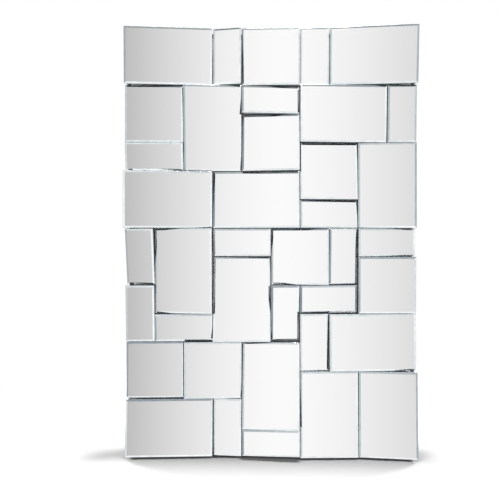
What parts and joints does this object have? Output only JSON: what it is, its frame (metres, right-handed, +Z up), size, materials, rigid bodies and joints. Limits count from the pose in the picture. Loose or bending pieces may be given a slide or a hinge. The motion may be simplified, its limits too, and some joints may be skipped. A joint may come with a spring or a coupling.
{
  "type": "faceted mirror screen",
  "caption": "Tall free-standing mirror screen: bevelled mirror tiles of mixed sizes, each at its own slight angle, on black relief boards, with a batten frame and swing-out feet behind.",
  "frame": {"origin": "middle of the footprint with the feet swung out, on the floor", "axes": "+Z up, mirrors face -Y, feet point along +Y, +X to the right of someone who looks at the mirrors"},
  "size_m": [1.019, 0.399, 1.5055],
  "materials": {
    "mirror_glass": "silvered glass, polished, with a bevelled border",
    "relief_black": "fibreboard, matt black paint round the outer sides and grey primer in the joints",
    "back_black": "fibreboard, matt black paint",
    "frame_lacquer": "softwood, satin black lacquer",
    "coated_steel": "powder-coated steel",
    "zinc": "zinc-plated steel"
  },
  "bodies": {
    "panel": {"mirror_tile_a1": "mirror_glass", "mirror_tile_a2": "mirror_glass", "mirror_tile_a3": "mirror_glass", "mirror_tile_a4": "mirror_glass", "mirror_tile_a5": "mirror_glass", "mirror_tile_b1": "mirror_glass", "mirror_tile_b2": "mirror_glass", "mirror_tile_b3": "mirror_glass", "mirror_tile_b4": "mirror_glass", "mirror_tile_b5": "mirror_glass", "mirror_tile_c1": "mirror_glass", "mirror_tile_c2": "mirror_glass", "mirror_tile_c3": "mirror_glass", "mirror_tile_c4": "mirror_glass", "mirror_tile_d1": "mirror_glass", "mirror_tile_d2": "mirror_glass", "mirror_tile_d3": "mirror_glass", "mirror_tile_e1": "mirror_glass", "mirror_tile_e2": "mirror_glass", "mirror_tile_e3": "mirror_glass", "mirror_tile_e4": "mirror_glass", "mirror_tile_e5": "mirror_glass", "mirror_tile_e6": "mirror_glass", "mirror_tile_f1": "mirror_glass", "mirror_tile_f2": "mirror_glass", "mirror_tile_f3": "mirror_glass", "mirror_tile_f4": "mirror_glass", "mirror_tile_f5": "mirror_glass", "mirror_tile_f6": "mirror_glass", "mirror_tile_g1": "mirror_glass", "mirror_tile_g2": "mirror_glass", "mirror_tile_g3": "mirror_glass", "mirror_tile_g4": "mirror_glass", "mirror_tile_g5": "mirror_glass", "mirror_tile_h1": "mirror_glass", "mirror_tile_h2": "mirror_glass", "mirror_tile_h3": "mirror_glass", "mirror_tile_h4": "mirror_glass", "mirror_tile_h5": "mirror_glass", "relief_board_top": "relief_black", "relief_board_upper_left": "relief_black", "relief_board_upper_right": "relief_black", "relief_board_middle_left": "relief_black", "relief_board_middle_right": "relief_black", "relief_board_lower_left": "relief_black", "relief_board_lower_right": "relief_black", "back_board": "back_black", "frame_stile_left": "frame_lacquer", "frame_stile_right": "frame_lacquer", "frame_rail_top": "frame_lacquer", "frame_rail_bottom": "frame_lacquer", "floor_plate": "coated_steel", "foot_left_hinge_leaf_fixed": "zinc", "foot_left_hinge_pin": "zinc", "foot_right_hinge_leaf_fixed": "zinc", "foot_right_hinge_pin": "zinc"},
    "left_foot": {"foot_left": "frame_lacquer", "foot_left_hinge_leaf_moving": "zinc"},
    "right_foot": {"foot_right": "frame_lacquer", "foot_right_hinge_leaf_moving": "zinc"}
  },
  "joints": [
    {"name": "left_foot_swing", "type": "hinge", "parent": "panel", "child": "left_foot", "pos_m": [-0.443, -0.06571, 0.15], "axis": [0, 0, -1], "range_deg": [0, 90]},
    {"name": "right_foot_swing", "type": "hinge", "parent": "panel", "child": "right_foot", "pos_m": [0.443, -0.06571, 0.15], "axis": [0, 0, 1], "range_deg": [0, 90]}
  ]
}
